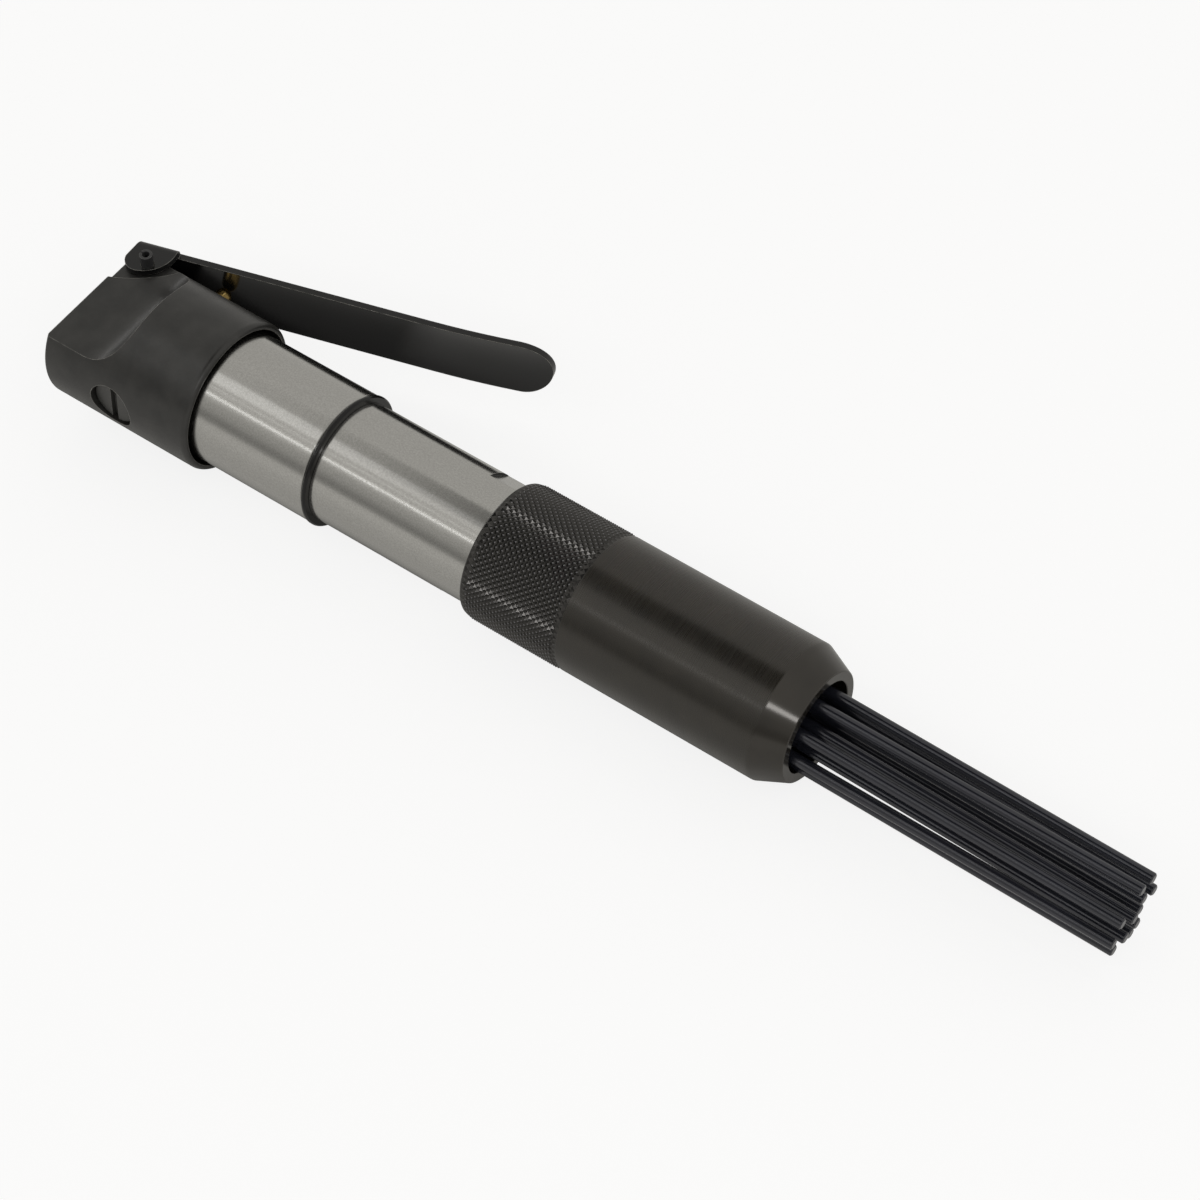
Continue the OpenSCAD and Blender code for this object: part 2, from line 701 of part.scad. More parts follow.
// Sleeve that turns the exhaust back to the head's mouth, with a snug land at its front
module exhaust_sleeve() {
    land = 12;
    slot_len = 4;
    edge = 0.4;
    color([0.72, 0.71, 0.69])
    difference() {
        spin_x(mouth_x) polygon([[barrel_r + fit_gap, 0], [sleeve_r, 0],
            [sleeve_r, sleeve_end - mouth_x - edge], [sleeve_r - edge, sleeve_end - mouth_x],
            [barrel_r + fit_gap, sleeve_end - mouth_x]]);
        rod_x(barrel_r + exhaust_gap, mouth_x - eps, sleeve_end - land);
        for (k = [0:exhaust_slots - 1]) rotate([(k + 0.5) * 360 / exhaust_slots, 0, 0])
            translate([mouth_x - eps, barrel_r - eps, -exhaust_slot_w / 2])
                cube([slot_len + eps, sleeve_r - barrel_r + 2 * eps, exhaust_slot_w]);
    }
}

// Rubber ring that keeps the sleeve in place
module sleeve_ring() {
    crest_chamfer = 0.4;
    inner = ring_groove_r + fit_gap;
    outer = sleeve_r + sleeve_ring_rise;
    color([0.08, 0.08, 0.08])
    spin_x(sleeve_ring_x) polygon([[inner, 0], [outer - crest_chamfer, 0], [outer, crest_chamfer],
        [outer, sleeve_ring_w - crest_chamfer], [outer - crest_chamfer, sleeve_ring_w],
        [inner, sleeve_ring_w]]);
}

// Free piston with oil grooves
module piston() {
    r = bore_r - piston_gap;
    grooves = 3;
    groove_w = 1.5;
    color([0.6, 0.6, 0.62])
    difference() {
        rod_x(r, piston_x, piston_x + piston_len);
        for (k = [1:grooves])
            tube_x(r + eps, r - piston_groove, piston_x + k * piston_len / (grooves + 1),
                piston_x + k * piston_len / (grooves + 1) + groove_w);
    }
}

// Hardened bush that guides the anvil in the barrel's front end
module anvil_bush() {
    color([0.5, 0.5, 0.52])
    difference() {
        union() {
            rod_x(bore_r - fit_gap, bush_x, barrel_end);
            rod_x(tube_bore_r - loose_gap, barrel_end, flange_x);
        }
        rod_x(anvil_r + run_gap, bush_x - eps, flange_x + eps);
    }
}

// Anvil: a shank that the piston strikes and a flange that drives the needles
module anvil() {
    edge = 0.8;
    flange_r = holder_r - holder_rim - loose_gap;
    flange_h = anvil_flange_x - anvil_x;
    color([0.55, 0.55, 0.57])
    spin_x(anvil_x) polygon([[0, 0], [anvil_r - edge, 0], [anvil_r, edge], [anvil_r, flange_h],
        [flange_r, flange_h], [flange_r, flange_h + anvil_flange_t], [0, flange_h + anvil_flange_t]]);
}

// Puts its children on a needle's own axis, with X 0 inside the holder's plate
module at_needle(i) {
    yaw = atan(slope_y(i));
    pitch = -atan(slope_z(i) * cos(yaw));
    translate([swing_x, hole_y(i) + holder_sag * cos(sag_angle), hole_z(i) + holder_sag * sin(sag_angle)])
        rotate([0, pitch, yaw]) children();
}

// Regular pattern of the holes that the needles float in
module needle_holes(r, x0, x1) {
    for (i = [0:outer_count + inner_count - 1])
        translate([0, hole_y(i), hole_z(i)]) rod_x(r, x0, x1);
}

// Needle holder: a cup that carries the needle heads, with a spigot for the spring
module needle_holder() {
    spigot_wall = 0.5;
    spigot_r = outer_ring_r + needle_r + holder_hole_gap + spigot_wall;
    color([0.45, 0.45, 0.47])
    difference() {
        union() {
            rod_x(holder_r, holder_x, holder_end);
            rod_x(spigot_r, holder_end, holder_end + spigot_h);
        }
        rod_x(holder_r - holder_rim, holder_x - eps, holder_plate_x);
        needle_holes(needle_r + holder_hole_gap, holder_plate_x - eps, holder_end + spigot_h + eps);
    }
}

// One needle: upset head, long shank and a chamfered tip
module needle(i) {
    color([0.2, 0.21, 0.24])
    at_needle(i) spin_x(heads_x + needle_lead[i] - swing_x) polygon([[0, 0], [needle_head_r, 0],
        [needle_head_r, needle_head_t], [needle_r, needle_head_t], [needle_r, needle_len - tip_chamfer],
        [needle_r - tip_chamfer, needle_len], [0, needle_len]]);
}

module needle_spring() {
    color([0.6, 0.6, 0.6])
    translate([holder_end, 0, 0]) rotate([0, 90, 0])
        coil(needle_spring_r, needle_spring_wire, guide_x - holder_end, needle_spring_turns);
}

// Guide plate that spreads the needles at the front
module needle_guide() {
    color([0.45, 0.45, 0.47])
    difference() {
        rod_x(tube_bore_r - fit_gap, guide_x, guide_end);
        needle_holes(needle_r + guide_hole_gap, guide_x - eps, guide_end + eps);
    }
}

// Nose tube: knurled grip, plain body, conical nose, and a stepped bore
module nose_tube() {
    knurl_end = tube_start + knurl_len;
    knurl_run_out = 0.25;
    thread_relief = 0.3;
    color([0.2, 0.19, 0.17])
    difference() {
        spin_x() polygon([[0, tube_start], [knurl_r - knurl_chamfer, tube_start],
            [knurl_r, tube_start + knurl_chamfer], [knurl_r, knurl_end], [tube_r, knurl_end + knurl_run_out],
            [tube_r, tube_end - nose_len], [nose_face_r, tube_end], [0, tube_end]]);
        rod_x(barrel_r + skirt_gap, tube_start - eps, front_thread_x + skirt_gap);
        rod_x(front_thread_r + fit_gap, front_thread_x, barrel_end + thread_relief);
        rod_x(tube_bore_r, barrel_end, guide_end);
        rod_x(nose_mouth_r, guide_end - eps, tube_end + eps);
    }
}

head();
inlet_screen();
valve_bush();
stem_seal();
valve_stem();
valve_seal();
valve_spring();
valve_cap();
cap_seal();
lever();
lever_pin();
head_gasket();
barrel();
rear_plate();
flutter_disc();
front_plate();
exhaust_sleeve();
sleeve_ring();
piston();
anvil_bush();
anvil();
needle_holder();
needle_spring();
needle_guide();
nose_tube();
needle(0);  // needle_01
needle(1);  // needle_02
needle(2);  // needle_03
needle(3);  // needle_04
needle(4);  // needle_05
needle(5);  // needle_06
needle(6);  // needle_07
needle(7);  // needle_08
needle(8);  // needle_09
needle(9);  // needle_10
needle(10);  // needle_11
needle(11);  // needle_12
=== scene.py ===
"""Looks of a straight air needle scaler: knurled nose tube, metal finishes, camera, lights and floor.

Sizes are in millimetres in the tool's own frame: X runs along its axis towards the needle tips, Y towards
the lever, and Z along the lever's pin. MM turns them into Blender's metres. Angles round the axis are in
degrees, from the lever's side over the top.
"""
import json
import math

import bpy
from mathutils import Matrix, Vector

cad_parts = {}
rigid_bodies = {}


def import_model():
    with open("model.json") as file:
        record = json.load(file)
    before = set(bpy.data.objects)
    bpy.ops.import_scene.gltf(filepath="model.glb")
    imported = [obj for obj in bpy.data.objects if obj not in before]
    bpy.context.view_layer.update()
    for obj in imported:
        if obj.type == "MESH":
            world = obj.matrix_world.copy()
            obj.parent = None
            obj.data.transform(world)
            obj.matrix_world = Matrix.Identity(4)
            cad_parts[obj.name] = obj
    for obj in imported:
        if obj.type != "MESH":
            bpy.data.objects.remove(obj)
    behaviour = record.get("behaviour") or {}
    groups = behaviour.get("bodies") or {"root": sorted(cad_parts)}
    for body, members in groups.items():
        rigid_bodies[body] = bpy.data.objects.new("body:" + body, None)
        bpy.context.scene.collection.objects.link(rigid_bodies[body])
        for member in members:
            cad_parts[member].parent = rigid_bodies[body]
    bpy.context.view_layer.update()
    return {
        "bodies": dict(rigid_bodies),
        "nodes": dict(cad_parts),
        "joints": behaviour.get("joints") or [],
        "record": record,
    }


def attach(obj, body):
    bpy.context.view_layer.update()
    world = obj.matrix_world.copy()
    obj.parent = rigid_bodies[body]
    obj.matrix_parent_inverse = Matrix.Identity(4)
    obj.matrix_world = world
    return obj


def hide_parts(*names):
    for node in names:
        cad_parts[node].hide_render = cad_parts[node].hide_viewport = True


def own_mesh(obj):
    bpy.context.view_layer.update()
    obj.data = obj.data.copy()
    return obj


MM = 0.001
WHITE = (1.0, 1.0, 1.0)

# Camera, fitted to the photo
CAMERA_PLACE = (539.0, -465.0, 799.3)
CAMERA_RIGHT = (0.80653, 0.59022, -0.03403)
CAMERA_UP = (-0.45674, 0.65861, 0.59801)
LENS = 120
SENSOR = 36
CLIP_NEAR = 50.0
CLIP_FAR = 20000.0

# The tool lies on the head's front edge and on the nose, at these (x, z), so the floor slopes a little
HEAD_CONTACT = (46.4, -21.3)
NOSE_CONTACT = (222.7, -19.05)
FLOOR_SIZE = 6000.0

# Paper: what the camera sees, and the grey level that the tool mirrors at each distance from itself, darker
# close by as painted shade under the tool and its lever
PAPER_WHITE = 0.95
PAPER_GLOW = 0.83
PAPER_DIFFUSE = 0.25
MATT_ROUGH = 0.9
FLOOR_SHADE_LEVELS = ((0, 0.17), (4, 0.3), (11, 0.41), (40, 0.46), (110, 0.53))

# Footprints of the painted shade under the tool and its lever on the floor, as the centre and the half sizes
# of a box
TOOL_SHADE_FOOTPRINT = ((115, 0, 0), (115, 13, 100))
LEVER_SHADE_FOOTPRINT = ((33, 34, 0), (33, 20, 100))

# Studio: the grey level that polished steel mirrors at each angle round the axis
STUDIO_R = 900.0
STUDIO_TINT = (1.0, 0.978, 0.925)
STUDIO_LEVELS = ((0, 0.5), (62, 0.51), (76, 0.54), (100, 0.54), (140, 0.55), (146, 0.44), (158, 0.38),
                 (166, 0.27), (172, 0.22), (180, 0.36))

# Strips of light on the studio's arc: their middle and length along the axis, the angles that they fill,
# and their brightness
STRIPS = {
    "overhead_panel": {"x": -600, "length": 620, "start": 99, "stop": 117, "level": 0.4},
    "thin_tube": {"x": -250, "length": 1000, "start": 123.2, "stop": 124.8, "level": 0.5},
    "bright_tube": {"x": -250, "length": 1000, "start": 135, "stop": 137, "level": 1.8},
    "nose_panel": {"x": 720, "length": 300, "start": 124, "stop": 132, "level": 5.5},
}

# A low window behind the tool
WINDOW_PLACE = (-900.0, 350.0, 5.0)
WINDOW_SIZE = (600.0, 70.0)
WINDOW_LEVEL = 1.6

# A black card over the tool
CARD_HEIGHT = 800.0
CARD_REAR = -235.0
CARD_FRONT = 300.0
CARD_NEAR = -270.0
CARD_FAR = 200.0
CARD_BLACK = 0.01

# Nose tube, from its rear end to its mouth
KNURL_START = 135.1
SKIRT_END = 143.2
BARREL_END = 163.3
KNURL_END = 165.0
NOSE_START = 222.7
GUIDE_END = 224.0
TUBE_END = 230.85
TUBE_R = 19.05
SKIRT_R = 17.05
THREAD_R = 16.35
CHAMBER_R = 15.6
NOSE_FACE_R = 15.45
MOUTH_R = 12.7

# Softened edges are EDGE wide, and a second ring HOLD away keeps the faces beside them flat
EDGE = 0.2
HOLD = 0.6

# Knurl: the radii of its crests and grooves, its pitch along the axis and its number of crests round it.
# The grooves start a little higher at the chamfer, the crests fade over a few rows at both ends, and the
# painted highlight grey on the crests starts at a share of their height.
KNURL_TOP_R = 19.29
KNURL_ROOT_R = 18.71
KNURL_PITCH = 1.88
KNURL_AROUND = 68
KNURL_CHAMFER = 0.35
KNURL_REAR_LIFT = 0.05
KNURL_FADE_ROWS = 2
CREST_HIGHLIGHT_SHARE = 0.6

# Springs: the joint that moves one end, the axis, and whether the low or the high end stays
X, Y = 0, 1
LOW, HIGH = 0, 1
SPRINGS = {"needle_spring": ("holder_slide", X, HIGH), "valve_spring": ("stem_slide", Y, LOW)}

# Faces that meet at a smaller angle than this are shaded as one, on the CAD's pieces and on the nose tube
SMOOTH_ANGLE = 32
TUBE_SMOOTH_ANGLE = 20

# Surface noise: the part of its range that is used, its detail, and how deep the fine marks are
NOISE_LOW = 0.3
NOISE_HIGH = 0.7
MARK_DETAIL = 4.0
BLOTCH_DETAIL = 5.0
MARK_DEPTH = 0.02

# Marks that run round the axis, marks with no direction, and the turn that draws the shine round the axis
TURNED = (1.0, 0.02, 0.02)
GRAINED = (1.0, 1.0, 1.0)
QUARTER_TURN = 0.25

# Softened edges, worn and with painted highlights: how far the softened normal turns where the wear and
# highlight start and where they are full, and the scratches that break them up
BEVEL_SAMPLES = 8
WEAR_HIGHLIGHT_START = 0.015
WEAR_HIGHLIGHT_FULL = 0.12
SCRATCH_SCALE = 400.0
SCRATCH_LEAST = 0.15

# Places where a finish changes: the knurl, with painted shade in its grooves and painted highlights on its
# crests, the cone of the nose, and walls cut across polished steel, darker partly as a rough cut finish and
# partly as painted shade and dark reflection
GROOVE_SHADE_BLACK = (0.004, 0.004, 0.004)
CREST_HIGHLIGHT_GREY = (0.3, 0.3, 0.32)
KNURL_ROUGH = 0.2
NOSE_ROUGH = 0.17
WALL_DARK_FINISH_AND_SHADE = (0.03, 0.03, 0.03)
WALL_ROUGH = 0.5
WALL_START = 0.85
WALL_FULL = 0.95

# Turned and polished steel
BARE_STEEL = {
    "tones": ((0.51, 0.505, 0.485), (0.61, 0.605, 0.585)), "rough": (0.165, 0.215), "metallic": 1.0,
    "marks": TURNED, "mark_scale": 4000.0, "relief": 0.07, "edge": 0.15, "brushed": 0.5,
    "blotch_scale": 2200.0,
}

FINISHES = {
    # Blued steel with a mottled satin grain, lighter on its edges with wear and painted highlights
    "blued_head": {
        "tones": ((0.010, 0.0097, 0.009), (0.032, 0.031, 0.029)), "rough": (0.3, 0.42), "mark_scale": 2500.0,
        "relief": 0.25, "edge": 0.35, "specular": 0.75, "wear_and_highlight": (0.45, 0.44, 0.41), "blotch_scale": 160.0,
    },
    # Glossy black enamel that mirrors the brass plunger
    "lever_finish": {
        "tones": ((0.006, 0.006, 0.006), (0.010, 0.010, 0.011)), "rough": (0.12, 0.18), "mark_scale": 900.0,
        "relief": 0.03, "edge": 0.35, "specular": 0.55, "wear_and_highlight": (0.4, 0.39, 0.36),
    },
    # Warm black oxide over turned steel
    "oxide_tube": {
        "tones": ((0.009, 0.0078, 0.0058), (0.019, 0.0162, 0.012)), "rough": (0.24, 0.32), "marks": TURNED,
        "mark_scale": 3500.0, "edge": 0.12, "specular": 0.85, "tint": (1.0, 0.962, 0.92), "brushed": 0.5,
        "wear_and_highlight": (0.3, 0.29, 0.27), "blotch_scale": 150.0,
    },
    "barrel_steel": BARE_STEEL,
    "sleeve_steel": BARE_STEEL,
    # Blue-black spring steel
    "needle_steel": {
        "tones": ((0.014, 0.015, 0.021), (0.024, 0.026, 0.036)), "rough": (0.13, 0.17), "metallic": 0.1,
        "mark_scale": 300.0, "relief": 0.01, "specular": 1.0, "tint": (0.93, 0.94, 1.0),
    },
    # Dull dark steel
    "plug_steel": {
        "tones": ((0.045, 0.045, 0.043), (0.07, 0.069, 0.066)), "rough": (0.38, 0.5), "metallic": 0.2,
        "relief": 0.1, "edge": 0.2, "specular": 0.7, "wear_and_highlight": (0.3, 0.3, 0.28),
    },
    # Dark spring steel with bright edges, worn and with painted highlights
    "pin_steel": {
        "tones": ((0.035, 0.035, 0.036), (0.055, 0.055, 0.058)), "rough": (0.3, 0.42), "metallic": 0.2,
        "relief": 0.05, "edge": 0.15, "specular": 0.7, "wear_and_highlight": (0.35, 0.35, 0.35),
    },
    # Plain brass
    "valve_brass": {
        "tones": ((0.78, 0.53, 0.18), (0.9, 0.66, 0.26)), "rough": (0.2, 0.3), "metallic": 1.0,
        "mark_scale": 1200.0,
    },
    # Wet-looking black rubber in the open, and matt rubber inside
    "ring_rubber": {
        "tones": ((0.006, 0.006, 0.006), (0.010, 0.010, 0.010)), "rough": (0.14, 0.2), "mark_scale": 1500.0,
        "relief": 0.02, "edge": 0.12, "specular": 0.4,
    },
    "seal_rubber": {"tones": ((0.012, 0.012, 0.012), (0.02, 0.02, 0.02)), "rough": (0.5, 0.65)},
    # Pieces inside the tool
    "spring_steel": {"tones": ((0.3, 0.3, 0.31), (0.4, 0.4, 0.41)), "rough": (0.25, 0.4), "metallic": 1.0},
    "screen_mesh": {"tones": ((0.5, 0.4, 0.2), (0.6, 0.5, 0.28)), "rough": (0.3, 0.45), "metallic": 1.0},
    "gasket_fibre": {"tones": ((0.2, 0.13, 0.08), (0.28, 0.18, 0.11)), "rough": (0.7, 0.85)},
    "plate_steel": {
        "tones": ((0.36, 0.36, 0.37), (0.46, 0.46, 0.47)), "rough": (0.25, 0.38), "metallic": 1.0,
        "marks": TURNED, "mark_scale": 3000.0,
    },
    "piston_steel": {
        "tones": ((0.45, 0.45, 0.46), (0.55, 0.55, 0.57)), "rough": (0.18, 0.3), "metallic": 1.0,
        "marks": TURNED, "mark_scale": 3000.0,
    },
    "hardened_steel": {
        "tones": ((0.26, 0.26, 0.27), (0.34, 0.34, 0.35)), "rough": (0.3, 0.42), "metallic": 1.0,
        "marks": TURNED, "mark_scale": 3000.0,
    },
}


# Shader helpers


def feed(tree, plug, value):
    """Links a socket into an input, or sets the input to a plain value."""
    if isinstance(value, bpy.types.NodeSocket):
        tree.links.new(value, plug)
    else:
        plug.default_value = value


def add_node(tree, kind, inputs=None, **settings):
    """A new node; inputs gives sockets or plain values for its inputs, by name or by number."""
    node = tree.nodes.new(kind)
    for name, value in settings.items():
        setattr(node, name, value)
    for key, value in (inputs or {}).items():
        feed(tree, node.inputs[key], value)
    return node


def maths(tree, operation, *values):
    """One step of arithmetic on sockets and plain numbers."""
    return add_node(tree, "ShaderNodeMath", dict(enumerate(values)), operation=operation).outputs["Value"]


def span(tree, value, low, high, start=NOISE_LOW, stop=NOISE_HIGH):
    """Maps values from start to stop to the span from low to high, and stays at its ends beyond them."""
    inputs = {"Value": value, "From Min": start, "From Max": stop, "To Min": low, "To Max": high}
    return add_node(tree, "ShaderNodeMapRange", inputs).outputs["Result"]


def colour_ramp(tree, value, stops):
    """Colours at given values between 0 and 1, with straight steps between them."""
    ramp = add_node(tree, "ShaderNodeValToRGB", {"Fac": value})
    elements = ramp.color_ramp.elements
    for index, (place, colour) in enumerate(stops):
        element = elements[index] if index < len(elements) else elements.new(place)
        element.position = place
        element.color = (*colour, 1)
    return ramp.outputs["Color"]


def level_ramp(tree, value, levels):
    """Grey levels at given values of a socket, which count from zero."""
    reach = levels[-1][0]
    stops = [(place / reach, (level, level, level)) for place, level in levels]
    return colour_ramp(tree, span(tree, value, 0, 1, 0, reach), stops)


def noise(tree, stretch, scale, detail=MARK_DETAIL):
    """Noise in the tool's own coordinates, stretched along one axis to look like tool marks."""
    place = add_node(tree, "ShaderNodeTexCoord").outputs["Object"]
    mapping = add_node(tree, "ShaderNodeMapping", {"Vector": place, "Scale": stretch})
    inputs = {"Vector": mapping.outputs["Vector"], "Scale": scale, "Detail": detail}
    return add_node(tree, "ShaderNodeTexNoise", inputs).outputs["Fac"]


def worn_and_highlit_edges(tree, rounded):
    """One on sharp edges, broken up by scratches, and zero elsewhere; it places both the wear and the
    painted highlights of edges.

    Edges are found by how far the softened normal turns away from the surface's own.
    """
    surface = add_node(tree, "ShaderNodeNewGeometry").outputs["Normal"]
    along = add_node(tree, "ShaderNodeVectorMath", {0: rounded, 1: surface}, operation="DOT_PRODUCT")
    mask = span(tree, along.outputs["Value"], 0, 1, 1 - WEAR_HIGHLIGHT_START, 1 - WEAR_HIGHLIGHT_FULL)
    scratches = span(tree, noise(tree, GRAINED, SCRATCH_SCALE), SCRATCH_LEAST, 1)
    return maths(tree, "MULTIPLY", mask, scratches)


def along_x(tree, vector, start, stop):
    """One where a vector's X part is beyond stop and zero before start."""
    x = add_node(tree, "ShaderNodeSeparateXYZ", {"Vector": vector}).outputs["X"]
    return span(tree, x, 0, 1, start, stop)


def knurl_crest_highlight(tree, place):
    """One on the crests of the knurl and zero in its grooves, from the distance to the tool's axis; it
    places the painted highlight on the crests.
    """
    across = add_node(tree, "ShaderNodeVectorMath", {0: place, 1: (0, 1, 1)}, operation="MULTIPLY")
    radius = add_node(tree, "ShaderNodeVectorMath", {0: across.outputs["Vector"]}, operation="LENGTH")
    start = KNURL_ROOT_R + CREST_HIGHLIGHT_SHARE * (KNURL_TOP_R - KNURL_ROOT_R)
    return span(tree, radius.outputs["Value"], 0, 1, start * MM, KNURL_TOP_R * MM)


def change_where(tree, socket, mask, value):
    """Puts another colour or value on the shader's socket where the mask is one."""
    target = tree.nodes["Principled BSDF"].inputs[socket]
    is_colour = isinstance(value, tuple)
    mix = add_node(tree, "ShaderNodeMix", data_type="RGBA" if is_colour else "FLOAT")
    factor, before, after = [plug for plug in mix.inputs if plug.enabled]
    tree.links.new(mask, factor)
    tree.links.new(target.links[0].from_socket, before)
    after.default_value = (*value, 1) if is_colour else value
    tree.links.new(next(plug for plug in mix.outputs if plug.enabled), target)


# Finishes


def new_material(name):
    """A new material, its node tree and its shader."""
    material = bpy.data.materials.new(name)
    material.use_nodes = True
    return material, material.node_tree, material.node_tree.nodes["Principled BSDF"]


def finish(name, tones, rough, metallic=0.0, marks=GRAINED, mark_scale=2000.0, relief=0.08, edge=0.0,
           specular=0.5, tint=WHITE, brushed=0.0, wear_and_highlight=None, blotch_scale=60.0):
    """A surface of two tones and two roughnesses with fine marks; its edges can be softened, and worn with
    painted highlights.
    """
    material, tree, shader = new_material(name)
    fine = noise(tree, marks, mark_scale)
    blotches = noise(tree, GRAINED, blotch_scale, BLOTCH_DETAIL)
    bump_inputs = {"Height": fine, "Strength": relief, "Distance": MARK_DEPTH * MM}
    bump = add_node(tree, "ShaderNodeBump", bump_inputs)
    shader_inputs = {
        "Base Color": colour_ramp(tree, blotches, zip((NOISE_LOW, NOISE_HIGH), tones)),
        "Roughness": span(tree, fine, *rough),
        "Normal": bump.outputs["Normal"],
        "Metallic": metallic,
        "Specular IOR Level": specular,
        "Specular Tint": (*tint, 1),
    }
    for socket, value in shader_inputs.items():
        feed(tree, shader.inputs[socket], value)
    if edge:
        bevel = add_node(tree, "ShaderNodeBevel", {"Radius": edge * MM}, samples=BEVEL_SAMPLES)
        tree.links.new(bevel.outputs["Normal"], bump.inputs["Normal"])
        # Painted highlights on the edges, together with wear
        if wear_and_highlight:
            change_where(tree, "Base Color", worn_and_highlit_edges(tree, bevel.outputs["Normal"]), wear_and_highlight)
    if brushed:
        tangent = add_node(tree, "ShaderNodeTangent", direction_type="RADIAL", axis="X")
        tree.links.new(tangent.outputs["Tangent"], shader.inputs["Tangent"])
        shader.inputs["Anisotropic"].default_value = brushed
        shader.inputs["Anisotropic Rotation"].default_value = QUARTER_TURN
    return material


def change_tube(tree):
    """The knurl is cooler, with grooves painted black as shade and crests painted grey as highlights, and
    the cone of the nose is shinier.
    """
    place = add_node(tree, "ShaderNodeTexCoord").outputs["Object"]
    knurl = along_x(tree, place, (KNURL_END + EDGE) * MM, KNURL_END * MM)
    # Painted shade in the knurl's grooves and painted highlights on its crests
    change_where(tree, "Base Color", knurl, GROOVE_SHADE_BLACK)
    change_where(tree, "Roughness", knurl, KNURL_ROUGH)
    change_where(tree, "Base Color", maths(tree, "MULTIPLY", knurl, knurl_crest_highlight(tree, place)), CREST_HIGHLIGHT_GREY)
    nose = along_x(tree, place, NOSE_START * MM, (NOSE_START + EDGE) * MM)
    change_where(tree, "Roughness", nose, NOSE_ROUGH)


def darken_walls(tree):
    """The walls that are cut across the axis of the steel and face forward are darker and rougher, partly as
    a rough cut finish and partly as painted shade and dark reflection.
    """
    surface = add_node(tree, "ShaderNodeNewGeometry").outputs["True Normal"]
    wall = along_x(tree, surface, WALL_START, WALL_FULL)
    # Partly a rough cut finish, partly painted shade and dark reflection on the forward-facing walls
    change_where(tree, "Base Color", wall, WALL_DARK_FINISH_AND_SHADE)
    change_where(tree, "Roughness", wall, WALL_ROUGH)


def all_finishes():
    """The materials of all slots, by name."""
    finishes = {slot: finish(slot, **look) for slot, look in FINISHES.items()}
    change_tube(finishes["oxide_tube"].node_tree)
    darken_walls(finishes["barrel_steel"].node_tree)
    darken_walls(finishes["sleeve_steel"].node_tree)
    return finishes


def smooth_by_angle(obj, limit):
    """Shades an object's faces as one round surface, apart from edges sharper than the limit."""
    for polygon in obj.data.polygons:
        polygon.use_smooth = True
    bpy.context.view_layer.objects.active = obj
    obj.select_set(True)
    bpy.ops.object.shade_smooth_by_angle(angle=math.radians(limit))
    obj.select_set(False)


def finish_frame(frame, finishes):
    """Puts each record slot's finish on its CAD nodes."""
    slots = {part["node"]: part["material_slot"] for part in frame["record"]["subparts"]}
    for name, node in frame["nodes"].items():
        node.data.materials.clear()
        node.data.materials.append(finishes[slots[name]])
        smooth_by_angle(node, SMOOTH_ANGLE)


# Pieces in the place of CAD nodes: the nose tube, whose grip is cut into real diamonds, and the springs


def add_mesh(name, points, faces):
    """A new object from points in millimetres."""
    mesh = bpy.data.meshes.new(name)
    mesh.from_pydata([tuple(v * MM for v in point) for point in points], [], faces)
    mesh.validate()
    obj = bpy.data.objects.new(name, mesh)
    bpy.context.scene.collection.objects.link(obj)
    return obj


def ring(x, radii):
    """Points of one ring round the tool's axis, with a radius for each point."""
    angles = [2 * math.pi * k / len(radii) for k in range(len(radii))]
    return [(x, r * math.cos(a), r * math.sin(a)) for r, a in zip(radii, angles)]


def join_rings(first, second, count, row=None):
    """Faces between two rings, each given by the number of its first point.

    They are quads, or in a row of the knurl triangles that meet along its grooves.
    """
    faces = []
    for k in range(count):
        n = (k + 1) % count
        a, b, c, d = first + k, first + n, second + n, second + k
        if row is None:
            faces.append((a, b, c, d))
        elif (k + row) % 2:
            faces += [(a, b, c), (a, c, d)]
        else:
            faces += [(a, b, d), (b, c, d)]
    return faces


def knurl_radii(row, rows, count):
    """Radii of a ring: every other point is a crest, shifted by one from row to row."""
    fade = min(1, row / KNURL_FADE_ROWS, (rows - row) / KNURL_FADE_ROWS)
    base = KNURL_ROOT_R if row else KNURL_ROOT_R + KNURL_REAR_LIFT
    crest = base + (KNURL_TOP_R - base) * fade
    return [base if (k + row) % 2 else crest for k in range(count)]


def rear_outline():
    """The tube's chamber, thread and skirt, and its rear face up to the knurl, as (x, radius)."""
    return [
        (GUIDE_END, MOUTH_R), (GUIDE_END, CHAMBER_R), (BARREL_END, CHAMBER_R), (BARREL_END, THREAD_R),
        (SKIRT_END, THREAD_R), (SKIRT_END, SKIRT_R), (KNURL_START + EDGE, SKIRT_R),
        (KNURL_START, SKIRT_R + EDGE), (KNURL_START, KNURL_ROOT_R - KNURL_CHAMFER / 2),
    ]


def cone_radius(x):
    """The radius of the nose's cone at a place along the axis."""
    return TUBE_R - (TUBE_R - NOSE_FACE_R) * (x - NOSE_START) / (TUBE_END - NOSE_START)


def front_outline():
    """The tube's body in front of the knurl, its cone, its flat front and its mouth, as (x, radius)."""
    body = (KNURL_END + EDGE, KNURL_END + HOLD, NOSE_START - HOLD, NOSE_START - EDGE)
    cone = (NOSE_START + EDGE, NOSE_START + HOLD, TUBE_END - HOLD, TUBE_END - EDGE)
    face = (NOSE_FACE_R - EDGE, NOSE_FACE_R - HOLD, MOUTH_R + HOLD, MOUTH_R + EDGE)
    mouth = (TUBE_END - EDGE, TUBE_END - HOLD)
    outline = [(x, TUBE_R) for x in body]
    outline += [(x, cone_radius(x)) for x in cone]
    outline += [(TUBE_END, r) for r in face]
    outline += [(x, MOUTH_R) for x in mouth]
    return outline


